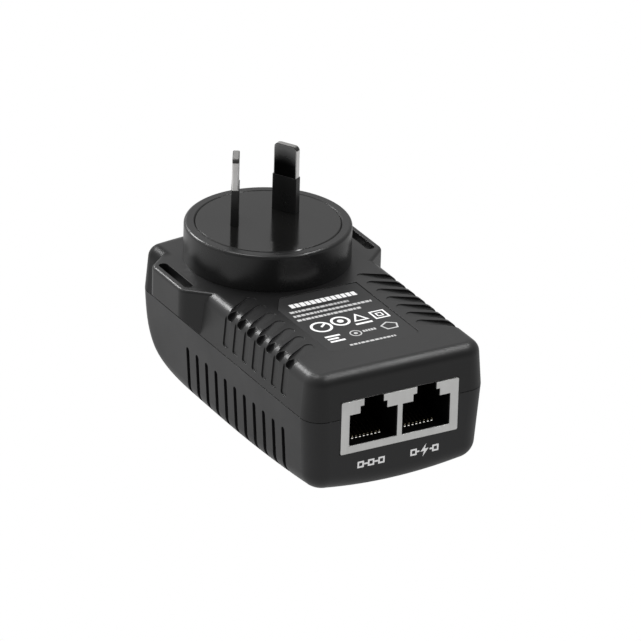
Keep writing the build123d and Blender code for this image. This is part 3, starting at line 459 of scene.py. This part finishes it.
class Print:
    """Flat outlines in mm on a plane, u along X and v along up, raised as thin ink."""

    def __init__(self, name, origin, up):
        self.name = name
        self.origin = Vector(origin)
        self.across = Vector((1, 0, 0))
        self.up = Vector(up).normalized()
        self.out = self.across.cross(self.up).normalized()
        self.bm = bmesh.new()

    def verts(self, points, height):
        return [self.bm.verts.new(self.origin + self.across * u * MM + self.up * v * MM
                                  + self.out * height) for u, v in points]

    def poly(self, points):
        low = self.verts(points, 0.0)
        top = self.verts(points, INK_THICK)
        self.bm.faces.new(top)
        self.bm.faces.new(low[::-1])
        for i in range(len(points)):
            j = (i + 1) % len(points)
            self.bm.faces.new((low[i], low[j], top[j], top[i]))

    def bar(self, u, v, width, height, turn=0.0):
        c, s = math.cos(turn), math.sin(turn)
        x, y = width / 2, height / 2
        self.poly([(u + a * c - b * s, v + a * s + b * c)
                   for a, b in ((-x, -y), (x, -y), (x, y), (-x, y))])

    def stroke(self, start, end, width):
        (u0, v0), (u1, v1) = start, end
        self.bar((u0 + u1) / 2, (v0 + v1) / 2, math.hypot(u1 - u0, v1 - v0), width,
                 turn=math.atan2(v1 - v0, u1 - u0))

    def loop(self, points, width):
        """Closed outline of even width, mitred inward from the points."""
        count = len(points)
        area = sum(points[i][0] * points[(i + 1) % count][1]
                   - points[(i + 1) % count][0] * points[i][1] for i in range(count))
        if area < 0:
            points = points[::-1]
        inner = []
        for i in range(count):
            before, here, after = (Vector(points[k]) for k in (i - 1, i, (i + 1) % count))
            side_in, side_out = (here - before).normalized(), (after - here).normalized()
            normal_in = Vector((-side_in.y, side_in.x))
            normal_out = Vector((-side_out.y, side_out.x))
            mitre = (normal_in + normal_out).normalized()
            inner.append(here + mitre * (width / max(0.3, mitre.dot(normal_in))))
        o0, o1 = self.verts(points, 0.0), self.verts(points, INK_THICK)
        i0, i1 = self.verts(inner, 0.0), self.verts(inner, INK_THICK)
        for i in range(count):
            j = (i + 1) % count
            self.bm.faces.new((o1[i], o1[j], i1[j], i1[i]))
            self.bm.faces.new((o0[j], o0[i], i0[i], i0[j]))
            self.bm.faces.new((o0[i], o0[j], o1[j], o1[i]))
            self.bm.faces.new((i0[j], i0[i], i1[i], i1[j]))

    def box(self, left, bottom, right, top, width):
        self.loop([(left, bottom), (right, bottom), (right, top), (left, top)], width)

    def disc(self, u, v, radius):
        self.poly(circle(u, v, radius, 28))

    def ring(self, u, v, radius, width):
        self.loop(circle(u, v, radius, 36), width)

    def words(self, left, right, v, height, gap, shortest, longest):
        """A row of bars of random length standing in for text."""
        u = left
        while u < right - 0.3:
            length = min(random.uniform(shortest, longest), right - u)
            self.bar(u + length / 2, v, length, height)
            u += length + gap

    def done(self, slot, material=white_ink):
        bmesh.ops.recalc_face_normals(self.bm, faces=self.bm.faces)
        mesh = bpy.data.meshes.new(self.name)
        self.bm.to_mesh(mesh)
        self.bm.free()
        mark = bpy.data.objects.new(self.name, mesh)
        scene.collection.objects.link(mark)
        mesh.materials.append(material)
        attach(mark, "case")


def rating_print(origin):
    """Title row and large pictograms."""
    label = Print("rating_print", origin, up=(0, 1, 0))
    label.words(-8.5, 9.3, -26.7, height=1.95, gap=0.28, shortest=1.0, longest=1.3)
    # dial
    label.ring(-7.2, -39.4, radius=2.7, width=0.62)
    label.stroke((-7.2, -39.4), (-5.6, -38.0), width=0.55)
    # ring round a dot
    label.ring(-1.7, -38.5, radius=2.4, width=0.62)
    label.disc(-1.7, -38.5, radius=0.8)
    # triangle over a bar
    label.loop([(1.1, -40.3), (5.1, -40.3), (3.1, -36.4)], width=0.45)
    label.bar(2.9, -41.7, width=4.4, height=0.75)
    # square in a square
    label.box(6.4, -41.2, 10.3, -37.2, width=0.45)
    label.box(7.5, -40.1, 9.2, -38.3, width=0.32)
    # three stacked bars sharing their left end
    for k, length in enumerate((3.9, 2.9, 3.9)):
        label.bar(-9.2 + length / 2, -47.4 + 1.35 * k, width=length, height=0.72)
    label.done("rating_film")


def rating_print_fine(origin):
    """Small rows and thin pictograms."""
    fine = Print("rating_print_fine", origin, up=(0, 1, 0))
    # left end, right end, v
    for left, right, v in ((-10.2, 5.4, -29.7), (-10.4, 10.3, -31.9), (-10.6, 6.2, -34.1)):
        fine.words(left, right, v, height=0.95, gap=0.22, shortest=0.5, longest=1.3)
    fine.ring(-1.6, -45.7, radius=1.5, width=0.32)
    fine.disc(-1.6, -45.7, radius=0.5)
    fine.words(0.4, 3.8, -45.5, height=0.95, gap=0.2, shortest=0.4, longest=0.6)
    # pentagon
    fine.loop([(6.1, -47.2), (9.0, -47.2), (9.8, -44.9), (7.55, -43.4), (5.3, -44.9)],
              width=0.4)
    fine.words(-5.9, 6.2, -50.7, height=0.75, gap=0.25, shortest=0.5, longest=1.1)
    fine.done("rating_film", thin_ink)


# the port face recedes toward +Y as it goes down
FACE_SLOPE = 0.03
FACE_Y, FACE_Z = -0.0644, -0.0202       # a point on the face
MARK_X, MARK_Z = 0.0071, -0.0332        # mark centre, out to either side
BLOCK_HALF = 0.85                       # mm
LINE = 0.42                             # mm, line width of the port marks
BOLT = [(0.35, 1.6), (-1.05, -0.25), (-0.1, -0.25),
        (-0.45, -1.6), (1.05, 0.35), (0.1, 0.35)]


def port_mark(name, side):
    lean = math.atan(FACE_SLOPE)
    face_y = FACE_Y + FACE_SLOPE * (FACE_Z - MARK_Z)
    return Print(name, (side * MARK_X, face_y - FACE_GAP, MARK_Z),
                 up=(0, -math.sin(lean), math.cos(lean)))


def block(mark, u):
    mark.box(u - BLOCK_HALF, -BLOCK_HALF, u + BLOCK_HALF, BLOCK_HALF, width=LINE)


def port_mark_lan():
    """Three blocks on one line: a data network."""
    mark = port_mark("port_mark_lan", side=-1)
    pitch = 2.75
    for u in (-pitch, 0.0, pitch):
        block(mark, u)
    for u in (-pitch / 2, pitch / 2):
        mark.bar(u, 0, width=0.98, height=LINE)
    mark.done("lower_case")


def port_mark_poe():
    """Bolt between two blocks: data and power."""
    mark = port_mark("port_mark_poe", side=1)
    mark.poly(BOLT)
    block_u = 2.9
    link_share = 0.586      # link centre as a share of the block's distance
    for u in (-block_u, block_u):
        block(mark, u)
        mark.bar(u * link_share, 0, width=0.66, height=LINE)
    mark.done("lower_case")


plate_low, plate_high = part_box("label_plate")
film_origin = ((plate_low.x + plate_high.x) / 2, 0, plate_high.z + FILM_GAP)
rating_print(film_origin)
rating_print_fine(film_origin)
port_mark_lan()
port_mark_poe()


# ---------------------------------------------------------------------------
# studio
# ---------------------------------------------------------------------------
FLOOR_DROP = 0.0003         # floor below the lowest point
FLOOR_HALF = 6
BASE_LIGHT = 0.16           # world light from every direction
# soft world lights: direction, tightness, strength
WORLD_LOBES = [
    ((0, 0, 1), 1.2, 0.26),                 # top
    ((-0.50, 0.80, 0.45), 3.0, 0.95),       # rear left
    ((-1.0, -0.15, 0.3), 3.0, 0.26),        # left
    ((1.0, -0.1, 0.4), 4.0, 0.34),          # right
    ((0.45, 0.78, 0.43), 6.0, 0.34),        # rear right
]


def floor_material():
    """White to the camera, graded to other rays, clear from underneath."""
    material = bpy.data.materials.new("floor_pale")
    tree = empty_tree(material)
    rear_left = dot_product(tree, coords(tree), Vector((-0.62, 0.78, 0)))
    graded = add(tree, "Emission",
                 {1: remap(tree, rear_left, source=(-0.05, 0.06), result=(0.50, 0.70))})
    white = add(tree, "Emission", {0: WHITE})
    seen = add(tree, "LightPath").outputs["Is Camera Ray"]
    upper = add(tree, "MixShader", {0: seen, 1: graded.outputs[0], 2: white.outputs[0]})
    under = add(tree, "NewGeometry").outputs["Backfacing"]
    clear = add(tree, "BsdfTransparent")
    both = add(tree, "MixShader", {0: under, 1: upper.outputs[0], 2: clear.outputs[0]})
    add(tree, "OutputMaterial", {0: both.outputs[0]})
    return material


def build_floor():
    material = floor_material()
    z = cad_low.z - FLOOR_DROP
    mesh = bpy.data.meshes.new("floor")
    mesh.from_pydata([(x * FLOOR_HALF, y * FLOOR_HALF, z)
                      for x, y in ((-1, -1), (1, -1), (1, 1), (-1, 1))], [], [(0, 1, 2, 3)])
    floor = bpy.data.objects.new("floor", mesh)
    mesh.materials.append(material)
    scene.collection.objects.link(floor)


def build_world():
    """White to the camera, soft lobes of light to everything else."""
    world = bpy.data.worlds.new("studio")
    scene.world = world
    tree = empty_tree(world)
    direction = add(tree, "TexCoord").outputs["Generated"]
    lobes = []
    for axis, tightness, strength in WORLD_LOBES:
        toward = dot_product(tree, direction, Vector(axis).normalized())
        lobe = calc(tree, "POWER", calc(tree, "MAXIMUM", toward, 0.0), tightness)
        lobes.append(calc(tree, "MULTIPLY", lobe, strength))
    light = lobes[0]
    for part in lobes[1:] + [BASE_LIGHT]:
        light = calc(tree, "ADD", light, part)
    soft = add(tree, "Background", {1: light})
    white = add(tree, "Background", {0: WHITE})
    seen = add(tree, "LightPath").outputs["Is Camera Ray"]
    mixed = add(tree, "MixShader", {0: seen, 1: soft.outputs[0], 2: white.outputs[0]})
    add(tree, "OutputWorld", {0: mixed.outputs[0]})


def area_light(name, location, target, size, power):
    light = bpy.data.lights.new(name, "AREA")
    light.shape = "RECTANGLE"
    light.size, light.size_y = size
    light.energy = power
    lamp = bpy.data.objects.new(name, light)
    lamp.location = location
    lamp.rotation_mode = "QUATERNION"
    lamp.rotation_quaternion = (Vector(target) - Vector(location)).to_track_quat("-Z", "Y")
    scene.collection.objects.link(lamp)


def build_camera():
    """Long lens at the front left (-X, -Y), looking down."""
    azimuth, elevation, roll = (math.radians(a) for a in (-29.781, 25.6, 1.621))
    # where the world origin sits from the camera, in mm: right, up and ahead
    origin_right, origin_up, origin_ahead = -12.388, 23.530, 1533.167
    back = Vector((math.sin(azimuth) * math.cos(elevation),
                   -math.cos(azimuth) * math.cos(elevation), math.sin(elevation)))
    level = Vector((math.cos(azimuth), math.sin(azimuth), 0))
    upright = back.cross(level)
    right = level * math.cos(roll) + upright * math.sin(roll)
    up = -level * math.sin(roll) + upright * math.cos(roll)
    data = bpy.data.cameras.new("camera")
    camera = bpy.data.objects.new("camera", data)
    scene.collection.objects.link(camera)
    data.sensor_width = 36.0
    data.lens = 363.9532605
    data.clip_end = 20
    camera.rotation_mode = "QUATERNION"
    camera.rotation_quaternion = Matrix((right, up, back)).transposed().to_quaternion()
    camera.location = (-right * origin_right - up * origin_up + back * origin_ahead) * MM
    scene.camera = camera


build_floor()
build_world()
middle = (0, -0.02, -0.02)
area_light("front_strip", location=(0.25, -0.13, 0.48), target=(0, -0.06, -0.012),
           size=(0.50, 0.032), power=1.2)
area_light("key", location=(-0.10, 0.12, 0.60), target=middle, size=(0.22, 0.22), power=1.0)
area_light("rear_strip", location=(-0.115, 0.47, 0.35), target=middle, size=(0.20, 0.11),
           power=1.5)
build_camera()
scene.view_settings.view_transform = "Standard"
